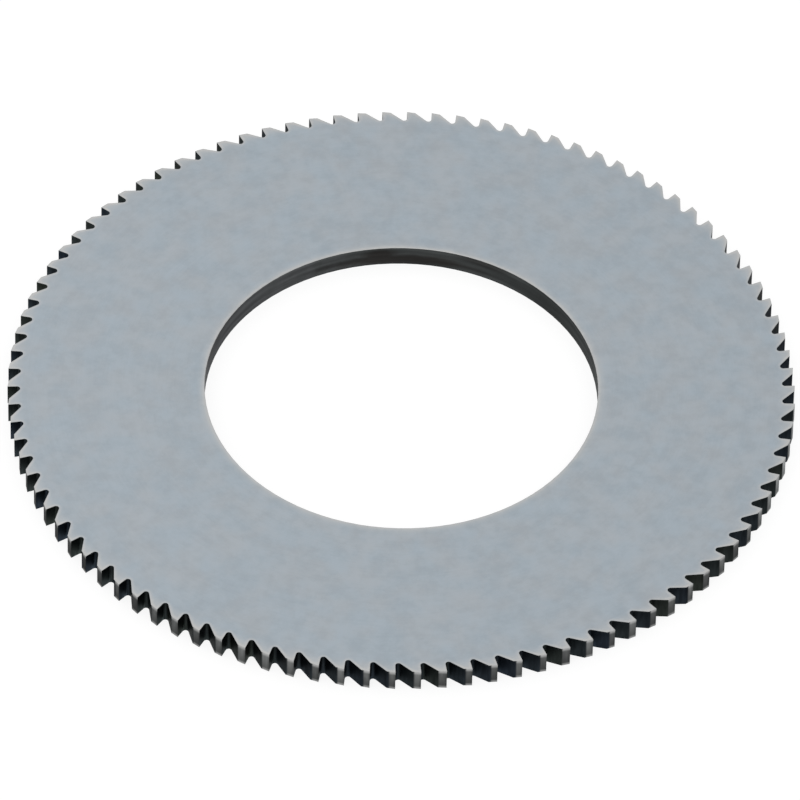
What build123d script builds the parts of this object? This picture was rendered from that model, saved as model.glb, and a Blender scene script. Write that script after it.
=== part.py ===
from build123d import *
import os

# Jewelers slitting saw: one hardened steel disc with a plain bore, sides ground
# hollow so that they clear the slot, and fine teeth milled around the rim.
# The blade lies flat in XY with the bore on Z and its lower side at z = 0.
# Seen from above it cuts turning anticlockwise.

# Driving dimensions, in millimetres and degrees
OUTER_DIAMETER = 50.8       # over the tooth tips
BORE_DIAMETER = 25.4        # slides on the arbor
THICKNESS = 1.524           # across the teeth, and so the width of the slot
HUB_LAND = 3.0              # flat ring around the bore that the arbor collars clamp
RIM_LAND = 1.6              # flat ring at the rim, before the side falls away
SIDE_CLEARANCE = 0.015      # how far the hub land lies below the rim, each side
BORE_EDGE_BREAK = 0.03      # chamfer at both ends of the bore

TEETH = 98
RAKE_ANGLE = 2.0            # lean of the cutting face back from the radius
LAND_WIDTH = 0.55           # narrow ground strip behind each cutting edge
LAND_RELIEF = 9.0           # fall of that strip from the tangent
BACK_ANGLE = 44.5           # fall of the tooth's back from the tangent
ROOT_RADIUS = 0.2           # fillet at the bottom of each gullet

# Sizes that follow from them
outer_radius = OUTER_DIAMETER / 2
bore_radius = BORE_DIAMETER / 2
hub_radius = bore_radius + HUB_LAND
rim_radius = outer_radius - RIM_LAND
tooth_pitch = 360 / TEETH


def direction(angle):
    """Unit vector in the blade's plane, at an angle from +X."""
    return Vector(1, 0).rotate(Axis.Z, angle)


def gullet():
    """The outline from the tip of the tooth on +X to the tip of the next one.

    The cutting face runs in from the tip to the root. The next tooth's back
    climbs from there to its heel, and its land from the heel to its tip.
    """
    tip = direction(0) * outer_radius
    next_tip = direction(tooth_pitch) * outer_radius
    next_tangent = tooth_pitch - 90
    heel = next_tip + direction(next_tangent - LAND_RELIEF) * LAND_WIDTH
    cutting_face = Axis(tip, direction(180 + RAKE_ANGLE))
    tooth_back = Axis(heel, direction(next_tangent - BACK_ANGLE))
    root = cutting_face.intersect(tooth_back)
    milled = FilletPolyline(tip, root, heel, radius=ROOT_RADIUS)
    return milled + Line(heel, next_tip)


def side_grind():
    """What the wheel takes off the lower side: a shallow cone, and the hub land."""
    half_section = Polyline(
        (0, 0, 0),
        (rim_radius, 0, 0),
        (hub_radius, 0, SIDE_CLEARANCE),
        (0, 0, SIDE_CLEARANCE),
        close=True,
    )
    return revolve(make_face(half_section), Axis.Z)


def saw_blade():
    """The whole saw: bored and toothed, ground on both sides, bore edges broken."""
    toothed_ring = make_face(PolarLocations(0, TEETH) * gullet()) - Circle(bore_radius)
    lower_grind = side_grind()
    upper_grind = mirror(lower_grind, about=Plane.XY.offset(THICKNESS / 2))
    blade = extrude(toothed_ring, THICKNESS) - lower_grind - upper_grind
    bore_wall = blade.faces().filter_by(GeomType.CYLINDER).sort_by(SortBy.AREA)[-1]
    return chamfer(bore_wall.edges().filter_by(GeomType.CIRCLE), BORE_EDGE_BREAK)


os.makedirs("parts", exist_ok=True)
export_step(saw_blade(), "parts/saw_blade.step")
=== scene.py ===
import math

import bpy
from mathutils import Euler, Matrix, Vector


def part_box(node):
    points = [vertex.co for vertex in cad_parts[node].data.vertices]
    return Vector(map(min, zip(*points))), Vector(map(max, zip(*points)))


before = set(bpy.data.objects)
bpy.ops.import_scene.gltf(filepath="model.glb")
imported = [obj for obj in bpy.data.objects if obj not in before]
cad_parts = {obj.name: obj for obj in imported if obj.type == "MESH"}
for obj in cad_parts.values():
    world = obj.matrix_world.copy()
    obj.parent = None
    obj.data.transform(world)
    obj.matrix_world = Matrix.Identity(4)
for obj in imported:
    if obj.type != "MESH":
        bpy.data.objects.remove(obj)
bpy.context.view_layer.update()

# The camera
# A long lens looks down at the flat blade from the front, as in the photograph, with the
# horizon a little off level. The blade sits just above the middle of the square picture.

MM = 0.001
PICTURE_WIDTH = 800             # pixels
SENSOR_WIDTH = 36.0             # millimetres
FOCAL_LENGTH = 12583            # pixels
CAMERA_DISTANCE = 811.7 * MM
CAMERA_ELEVATION = math.radians(45.42)
CAMERA_AZIMUTH = math.radians(-1.92)
CAMERA_ROLL = math.radians(1.3)
CAMERA_LEFT = 0.09 * MM         # the lens's axis passes beside and below the bore's centre
CAMERA_DOWN = 0.895 * MM

blade_low, blade_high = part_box("saw_blade")
bore_centre_on_top = Vector((0, 0, blade_high.z))
turn = Euler((0, 0, CAMERA_AZIMUTH)).to_matrix()
tilt = Euler((math.pi / 2 - CAMERA_ELEVATION, 0, 0)).to_matrix()
roll = Euler((0, 0, CAMERA_ROLL)).to_matrix()
camera_axes = turn @ tilt @ roll

lens = bpy.data.cameras.new("camera")
lens.sensor_width = SENSOR_WIDTH
lens.lens = FOCAL_LENGTH * SENSOR_WIDTH / PICTURE_WIDTH
camera = bpy.data.objects.new("camera", lens)
camera.matrix_world = camera_axes.to_4x4()
camera.location = bore_centre_on_top + camera_axes @ Vector(
    (-CAMERA_LEFT, -CAMERA_DOWN, CAMERA_DISTANCE)
)
scene = bpy.context.scene
scene.collection.objects.link(camera)
scene.camera = camera


# The table and the light
# The blade lies on a plain white table under a white sky. A small soft lamp stands behind
# it to the left, and a broad one in front of it brings up the ground sides.

SKY_LIGHT = 0.8                 # how strongly the sky lights things; it is seen as plain white
TABLE_SIZE = 6.0
TABLE_GAP = 0.02 * MM           # the table lies this far under the blade
TABLE_WHITE = 0.2
TABLE_GLOW = 0.855              # what the table shows of plain white where a shadow falls

scene.view_settings.view_transform = "Standard"


def put(tree, kind, inputs=None, **settings):
    """Adds a node. Each input is another node's output to link, or a plain value."""
    made = tree.nodes.new(kind)
    for name, value in settings.items():
        setattr(made, name, value)
    for place, value in (inputs or {}).items():
        if isinstance(value, bpy.types.NodeSocket):
            tree.links.new(value, made.inputs[place])
        else:
            made.inputs[place].default_value = value
    return made


def calculate(tree, operation, *values):
    """The result of one Math node."""
    return put(tree, "ShaderNodeMath", dict(enumerate(values)), operation=operation).outputs[0]


def seen_share(tree):
    """1 for what the lens sees itself, or sees mirrored in metal or through glass."""
    path = put(tree, "ShaderNodeLightPath").outputs
    seen = calculate(tree, "MAXIMUM", path["Is Camera Ray"], path["Is Glossy Ray"])
    return calculate(tree, "MAXIMUM", seen, path["Is Transmission Ray"])


def empty_material(name):
    """A new material, its node tree, and the output, the only node in that tree."""
    material = bpy.data.materials.new(name)
    material.use_nodes = True
    material.node_tree.nodes.clear()
    return material, material.node_tree, put(material.node_tree, "ShaderNodeOutputMaterial")


sky = bpy.data.worlds.new("sky")
sky.use_nodes = True
scene.world = sky
tree = sky.node_tree
background = tree.nodes["Background"]
background.inputs["Color"].default_value = (1, 1, 1, 1)
strength = put(tree, "ShaderNodeMix", {0: seen_share(tree), 2: SKY_LIGHT, 3: 1.0})
tree.links.new(strength.outputs[0], background.inputs["Strength"])

table_mesh = bpy.data.meshes.new("table")
half = TABLE_SIZE / 2
height = blade_low.z - TABLE_GAP
table_mesh.from_pydata(
    [(-half, -half, height), (half, -half, height), (half, half, height), (-half, half, height)],
    [],
    [(0, 1, 2, 3)],
)
table = bpy.data.objects.new("table", table_mesh)
scene.collection.objects.link(table)

table_white, tree, surface = empty_material("table_white")
lit = put(tree, "ShaderNodeBsdfDiffuse", {"Color": (TABLE_WHITE,) * 3 + (1,)})
glow = calculate(tree, "MULTIPLY", seen_share(tree), TABLE_GLOW)
glow = put(tree, "ShaderNodeEmission", {"Color": (1, 1, 1, 1), "Strength": glow})
top_side = put(tree, "ShaderNodeAddShader", {0: lit.outputs[0], 1: glow.outputs[0]})
from_below = put(tree, "ShaderNodeNewGeometry").outputs["Backfacing"]
see_through = put(tree, "ShaderNodeBsdfTransparent")
both_sides = put(
    tree,
    "ShaderNodeMixShader",
    {0: from_below, 1: top_side.outputs[0], 2: see_through.outputs[0]},
)
tree.links.new(both_sides.outputs[0], surface.inputs["Surface"])
table_mesh.materials.append(table_white)


def soft_lamp(name, azimuth, elevation, distance, size, power):
    """A square lamp that faces the blade. Azimuth 0 is the camera's side, 90 the right."""
    light = bpy.data.lights.new(name, "AREA")
    light.shape = "SQUARE"
    light.size = size
    light.energy = power
    lamp = bpy.data.objects.new(name, light)
    away = Vector((0, 0, 1))
    away.rotate(Euler((math.radians(90 - elevation), 0, math.radians(azimuth))))
    lamp.location = away * distance
    lamp.rotation_mode = "QUATERNION"
    lamp.rotation_quaternion = away.to_track_quat("Z", "Y")
    scene.collection.objects.link(lamp)


soft_lamp("back_lamp", azimuth=-145, elevation=45, distance=0.3, size=0.2, power=0.035)
soft_lamp("front_lamp", azimuth=-10, elevation=50, distance=0.5, size=0.4, power=0.25)


# The saw blade
# Hardened high speed steel, turned, bored and milled, then ground on both sides, which
# leaves the sides bright with a fine circular grain. The milled gullets and the bore keep
# the dark skin of the heat treatment, and the land behind each edge is ground half bright.

TEETH = 98
BORE_RADIUS = 12.7 * MM
ROOT_RADIUS = 24.58 * MM        # the bottoms of the gullets
HEEL_RADIUS = 25.29 * MM        # where a tooth's dark back meets its land
TIP_RADIUS = 25.4 * MM
BRIGHTER_FROM = 24.35 * MM      # from here out to the tips the sides get a painted highlight
RUBBED_AND_HIGHLIGHT_WIDTH = 0.4 * MM         # how far in from an edge the sides get rubbed steel and a painted highlight
EDGE_ROUNDING = 0.03 * MM
GRAIN_DEPTH = 0.004 * MM

# What a surface is, by how far it faces up or down, or out: 1 is straight, 0 is square to it
SIDE_FACES_UP = 0.85
WALL_FACES_UP = 0.4
LAND_FACES_OUT = 0.9

GROUND_BLUE = (0.346, 0.395, 0.437)
GROUND_WARM = (0.366, 0.398, 0.427)
# Rubbed steel, also used for painted highlights and a painted reflection of the table
RUBBED_AND_HIGHLIGHT_STEEL = (0.475, 0.478, 0.474)
LAND_DARK = (0.084, 0.087, 0.087)
LAND_LIGHT = (0.184, 0.190, 0.188)
MILLED_BLUE = (0.012, 0.016, 0.022)
MILLED_OLIVE = (0.017, 0.020, 0.017)
BORE_CHARCOAL = (0.051, 0.055, 0.055)
BORE_PAINTED_LIGHT = (0.078, 0.081, 0.084)
BORE_STAIN = (0.026, 0.025, 0.024)
PAINTED_LIGHT_SIDE = (-0.97, 0.26, 0)     # painted light makes the bore palest on this side

SMOOTHEST = 0.34                # roughness of the ground sides, by their mottle
DULLEST = 0.46
WALLS_DULLER = 0.12
RUBBED_SMOOTHER = 0.08


def group(name, outputs):
    """An empty node group with named outputs, and the node that collects them."""
    tree = bpy.data.node_groups.new(name, "ShaderNodeTree")
    for socket, kind in outputs.items():
        tree.interface.new_socket(socket, in_out="OUTPUT", socket_type=kind)
    return tree, put(tree, "NodeGroupOutput")


def vector_maths(tree, operation, first, second=None):
    """The result of one Vector Math node, a number for a length or a dot product."""
    made = put(tree, "ShaderNodeVectorMath", {0: first}, operation=operation)
    place = 3 if operation == "SCALE" else 1
    if isinstance(second, bpy.types.NodeSocket):
        tree.links.new(second, made.inputs[place])
    elif second is not None:
        made.inputs[place].default_value = second
    return made.outputs["Value" if operation in ("LENGTH", "DOT_PRODUCT") else "Vector"]


def ramp(tree, value, start, end, at_start=0.0, at_end=1.0):
    """A number that goes smoothly from at_start to at_end as value goes from start to end."""
    places = {
        "Value": value, "From Min": start, "From Max": end, "To Min": at_start, "To Max": at_end
    }
    kind = "ShaderNodeMapRange"
    return put(tree, kind, places, interpolation_type="SMOOTHSTEP").outputs["Result"]


def shade(tree, colour, value, start, end, at_start, at_end):
    """The colour, made darker or brighter by a ramp over value."""
    return vector_maths(tree, "SCALE", colour, ramp(tree, value, start, end, at_start, at_end))


def noise(tree, place, scale, detail=2.0, roughness=0.5):
    """Soft noise from 0 to 1, with about this many patches in a unit of place."""
    places = {"Vector": place, "Scale": scale, "Detail": detail, "Roughness": roughness}
    return put(tree, "ShaderNodeTexNoise", places).outputs[0]


def circular_grain(tree, outward, bends, across, lines):
    """Noise drawn out around the bore, with about this many lines in a millimetre across."""
    along = vector_maths(tree, "SCALE", outward, bends)
    steps = calculate(tree, "MULTIPLY", across, lines)
    upward = put(tree, "ShaderNodeCombineXYZ", {2: steps}).outputs[0]
    return noise(tree, vector_maths(tree, "ADD", along, upward), 1.0, detail=3.0)


def blend(tree, share, first, second):
    """The first colour, turning into the second as share goes from 0 to 1."""
    places = {0: share}
    for place, colour in ((6, first), (7, second)):
        places[place] = colour if isinstance(colour, bpy.types.NodeSocket) else (*colour, 1)
    return put(tree, "ShaderNodeMix", places, data_type="RGBA").outputs[2]


def blade_places():
    """Where a point lies on the blade, in millimetres, and on which of its surfaces."""
    numbers = "Radius Angle Behind Side Chamfer Land Bore Tooth".split()
    outputs = {name: "NodeSocketFloat" for name in numbers}
    outputs.update({"Place": "NodeSocketVector", "Outward": "NodeSocketVector"})
    tree, out = group("blade_places", outputs)
    metres = put(tree, "ShaderNodeTexCoord").outputs["Object"]
    place = vector_maths(tree, "SCALE", metres, 1 / MM)
    flat = vector_maths(tree, "MULTIPLY", place, (1, 1, 0))
    radius = vector_maths(tree, "LENGTH", flat)
    outward = vector_maths(tree, "NORMALIZE", flat)
    x, y, z = put(tree, "ShaderNodeSeparateXYZ", {0: place}).outputs
    angle = calculate(tree, "ARCTAN2", y, x)

    # Teeth counted around the blade, and how far a point lies behind the next cutting edge
    teeth_round = calculate(tree, "MULTIPLY", angle, TEETH / math.tau)
    tooth = calculate(tree, "FLOOR", calculate(tree, "SUBTRACT", teeth_round, 0.1))
    to_next_edge = calculate(tree, "SUBTRACT", 1.0, calculate(tree, "FRACT", teeth_round))
    behind = calculate(tree, "MULTIPLY", to_next_edge, math.tau * TIP_RADIUS / MM / TEETH)

    facing = put(tree, "ShaderNodeNewGeometry").outputs["True Normal"]
    up = calculate(tree, "ABSOLUTE", put(tree, "ShaderNodeSeparateXYZ", {0: facing}).outputs[2])
    side = calculate(tree, "GREATER_THAN", up, SIDE_FACES_UP)
    wall = calculate(tree, "LESS_THAN", up, WALL_FACES_UP)
    outer = calculate(tree, "GREATER_THAN", radius, HEEL_RADIUS / MM)
    faces_out = vector_maths(tree, "DOT_PRODUCT", facing, outward)
    tangent = calculate(tree, "GREATER_THAN", faces_out, LAND_FACES_OUT)
    inner = calculate(tree, "LESS_THAN", radius, BORE_RADIUS / MM + 0.5)
    found = {
        "Place": place,
        "Outward": outward,
        "Radius": radius,
        "Angle": angle,
        "Behind": behind,
        "Side": side,
        "Chamfer": calculate(tree, "SUBTRACT", 1.0, calculate(tree, "ADD", side, wall)),
        "Land": calculate(tree, "MULTIPLY", calculate(tree, "MULTIPLY", outer, tangent), wall),
        "Bore": calculate(tree, "MULTIPLY", inner, wall),
        "Tooth": put(
            tree, "ShaderNodeTexWhiteNoise", {"W": tooth}, noise_dimensions="1D"
        ).outputs["Value"],
    }
    for name, value in found.items():
        tree.links.new(value, out.inputs[name])
    return tree


steel, tree, surface = empty_material("ground_saw_steel")
on_blade = put(tree, "ShaderNodeGroup", node_tree=blade_places()).outputs
place = on_blade["Place"]
outward = on_blade["Outward"]
radius = on_blade["Radius"]
behind = on_blade["Behind"]
height = put(tree, "ShaderNodeSeparateXYZ", {0: place}).outputs[2]

# The ground sides: soft mottle, faint warm and blue patches, and a fine circular grain
mottle = noise(tree, place, 0.9, detail=5.0, roughness=0.68)
patches = noise(tree, place, 0.5, detail=3.0)
grain = circular_grain(tree, outward, 6.0, radius, 9.0)
ground = blend(tree, ramp(tree, patches, 0.3, 0.7), GROUND_BLUE, GROUND_WARM)
ground = shade(tree, ground, mottle, 0.3, 0.7, 0.935, 1.065)
ground = shade(tree, ground, grain, 0.3, 0.7, 0.99, 1.01)

# The edges are painted a little brighter, as rubbed steel with a painted highlight, and the
# teeth and a thin ring at the bore get a painted highlight
flat_normal = put(tree, "ShaderNodeNewGeometry").outputs["True Normal"]
near_edge = put(tree, "ShaderNodeBevel", {"Radius": RUBBED_AND_HIGHLIGHT_WIDTH}, samples=8).outputs[0]
bent = calculate(
    tree, "SUBTRACT", 1.0, vector_maths(tree, "DOT_PRODUCT", near_edge, flat_normal)
)
rubbed_and_highlight = calculate(tree, "MULTIPLY", ramp(tree, bent, 0.0, 0.025), 0.5)
# painted highlight on the teeth
pointed = ramp(tree, radius, BRIGHTER_FROM / MM, TIP_RADIUS / MM, 0.0, 0.7)
rubbed_and_highlight = calculate(tree, "ADD", rubbed_and_highlight, pointed)
# painted highlight in a thin ring at the bore
ring = ramp(tree, radius, BORE_RADIUS / MM + 0.1, BORE_RADIUS / MM + 0.6, 0.4, 0.0)
rubbed_and_highlight = calculate(tree, "ADD", rubbed_and_highlight, ring)
rubbed_and_highlight = calculate(tree, "MULTIPLY", rubbed_and_highlight, ramp(tree, mottle, 0.3, 0.6, 0.6, 1.0))
ground = blend(tree, rubbed_and_highlight, ground, RUBBED_AND_HIGHLIGHT_STEEL)

# The milled gullets: blue-black to olive from tooth to tooth, with painted shade darker towards
# the top, and painted light brighter on the cutting faces and towards the bottoms of the gullets
upright = vector_maths(tree, "MULTIPLY", place, (1, 1, 0.2))
milled = noise(tree, upright, 4.0, detail=3.0)
tint = calculate(tree, "FRACT", calculate(tree, "MULTIPLY", on_blade["Tooth"], 7.0))
gullet = blend(tree, tint, MILLED_BLUE, MILLED_OLIVE)
gullet = shade(tree, gullet, milled, 0.3, 0.7, 0.8, 1.3)
# painted shade, darker towards the top
gullet = shade(tree, gullet, height, 0.3, 1.5, 1.2, 0.7)
# painted light on the cutting faces and at the bottoms
gullet = shade(tree, gullet, behind, 0.1, 0.3, 2.0, 1.0)
gullet = shade(tree, gullet, radius, ROOT_RADIUS / MM, ROOT_RADIUS / MM + 0.62, 1.5, 1.0)

# The lands: their grinding differs from tooth to tooth, in colour and in width. Painted shade
# makes them darker towards the bottom, and painted light makes them darkest on the left of the
# picture and brightest on the right. Their upper corners are rubbed and carry a painted
# highlight, and their lower corners carry a painted reflection of the white table.
land_share = calculate(
    tree, "ADD", ramp(tree, on_blade["Tooth"], 0.0, 1.0, 0.0, 0.7),
    ramp(tree, milled, 0.2, 0.8, -0.25, 0.25),
)
land = blend(tree, land_share, LAND_DARK, LAND_LIGHT)
# painted shade, darker towards the bottom
land = shade(tree, land, height, 0.2, 1.4, 0.7, 1.2)
rightward = vector_maths(tree, "DOT_PRODUCT", outward, (1, 0, 0))
# painted light: darker on the left of the picture, brighter on its right
land = shade(tree, land, rightward, -1.0, -0.45, 0.3, 1.0)
land = shade(tree, land, rightward, 0.86, 1.0, 1.0, 3.0)
land = shade(tree, land, behind, 0.0, 0.2, 0.65, 1.0)
# rubbed upper corner with a painted highlight
land = blend(tree, ramp(tree, height, 1.2, 1.5, 0.0, 0.8), land, RUBBED_AND_HIGHLIGHT_STEEL)
# painted reflection of the white table along the bottom
land = blend(tree, ramp(tree, height, 0.05, 0.25, 0.5, 0.0), land, RUBBED_AND_HIGHLIGHT_STEEL)
ground_to = calculate(tree, "ADD", behind, ramp(tree, tint, 0.0, 1.0, 0.06, -0.1))
land = blend(tree, ramp(tree, ground_to, 0.36, 0.5), land, gullet)

# The bore: charcoal, paler to the left from painted light, with dark stains on the far side, and
# streaked along the wall by the boring tool
round_bore = calculate(tree, "MULTIPLY", on_blade["Angle"], BORE_RADIUS / MM)
on_wall = put(tree, "ShaderNodeCombineXYZ", {0: round_bore, 1: height}).outputs[0]


def bore_stain(azimuth, up, length, breadth):
    """1 in the middle of an oval stain on the bore's wall, and 0 outside it."""
    centre = (BORE_RADIUS / MM * math.radians(azimuth), up, 0)
    away = vector_maths(tree, "SUBTRACT", on_wall, centre)
    away = vector_maths(tree, "MULTIPLY", away, (2 / length, 2 / breadth, 0))
    away = vector_maths(tree, "LENGTH", away)
    return ramp(tree, calculate(tree, "ADD", away, mottle), 1.9, 0.9)


long_stain = bore_stain(azimuth=88, up=0.5, length=10.5, breadth=0.85)
round_stain = bore_stain(azimuth=95, up=0.9, length=2.6, breadth=1.0)
faint_stain = bore_stain(azimuth=64, up=1.25, length=4.0, breadth=0.5)
faint_stain = calculate(tree, "MULTIPLY", faint_stain, 0.6)
stain = calculate(tree, "MAXIMUM", long_stain, round_stain)
stain = calculate(tree, "MAXIMUM", stain, faint_stain)
to_painted_light_side = vector_maths(tree, "DOT_PRODUCT", outward, PAINTED_LIGHT_SIDE)
bore_painted_light = ramp(tree, calculate(tree, "ADD", to_painted_light_side, mottle), 0.87, 1.46)
bore = blend(tree, bore_painted_light, BORE_CHARCOAL, BORE_PAINTED_LIGHT)
bore = blend(tree, stain, bore, BORE_STAIN)
streaks = circular_grain(tree, outward, 2.0, height, 3.0)
bore = shade(tree, bore, streaks, 0.3, 0.7, 0.75, 1.3)

colour = blend(tree, on_blade["Side"], gullet, ground)
# The chamfers take the rubbed steel colour as a painted highlight
colour = blend(tree, on_blade["Chamfer"], colour, RUBBED_AND_HIGHLIGHT_STEEL)
colour = blend(tree, on_blade["Land"], colour, land)
colour = blend(tree, on_blade["Bore"], colour, bore)

# Dull where it is dark and milled, and smoother where it is ground or rubbed
roughness = ramp(tree, mottle, 0.25, 0.75, SMOOTHEST, DULLEST)
walls = ramp(tree, on_blade["Side"], 0.0, 1.0, WALLS_DULLER, 0.0)
roughness = calculate(tree, "ADD", roughness, walls)
polish = calculate(tree, "MULTIPLY", rubbed_and_highlight, RUBBED_SMOOTHER)
roughness = calculate(tree, "SUBTRACT", roughness, polish)
relief = calculate(tree, "ADD", grain, calculate(tree, "MULTIPLY", mottle, 0.5))
edges = put(tree, "ShaderNodeBevel", {"Radius": EDGE_ROUNDING}, samples=8).outputs[0]
bumps = put(
    tree,
    "ShaderNodeBump",
    {"Strength": 0.25, "Distance": GRAIN_DEPTH, "Height": relief, "Normal": edges},
).outputs[0]

metal = put(
    tree,
    "ShaderNodeBsdfPrincipled",
    {
        "Base Color": colour,
        "Metallic": 1.0,
        "Roughness": roughness,
        "Specular Tint": (0.5, 0.5, 0.5, 1),
        "Normal": bumps,
    },
)
tree.links.new(metal.outputs[0], surface.inputs["Surface"])

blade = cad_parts["saw_blade"]
blade.material_slots[0].material = steel
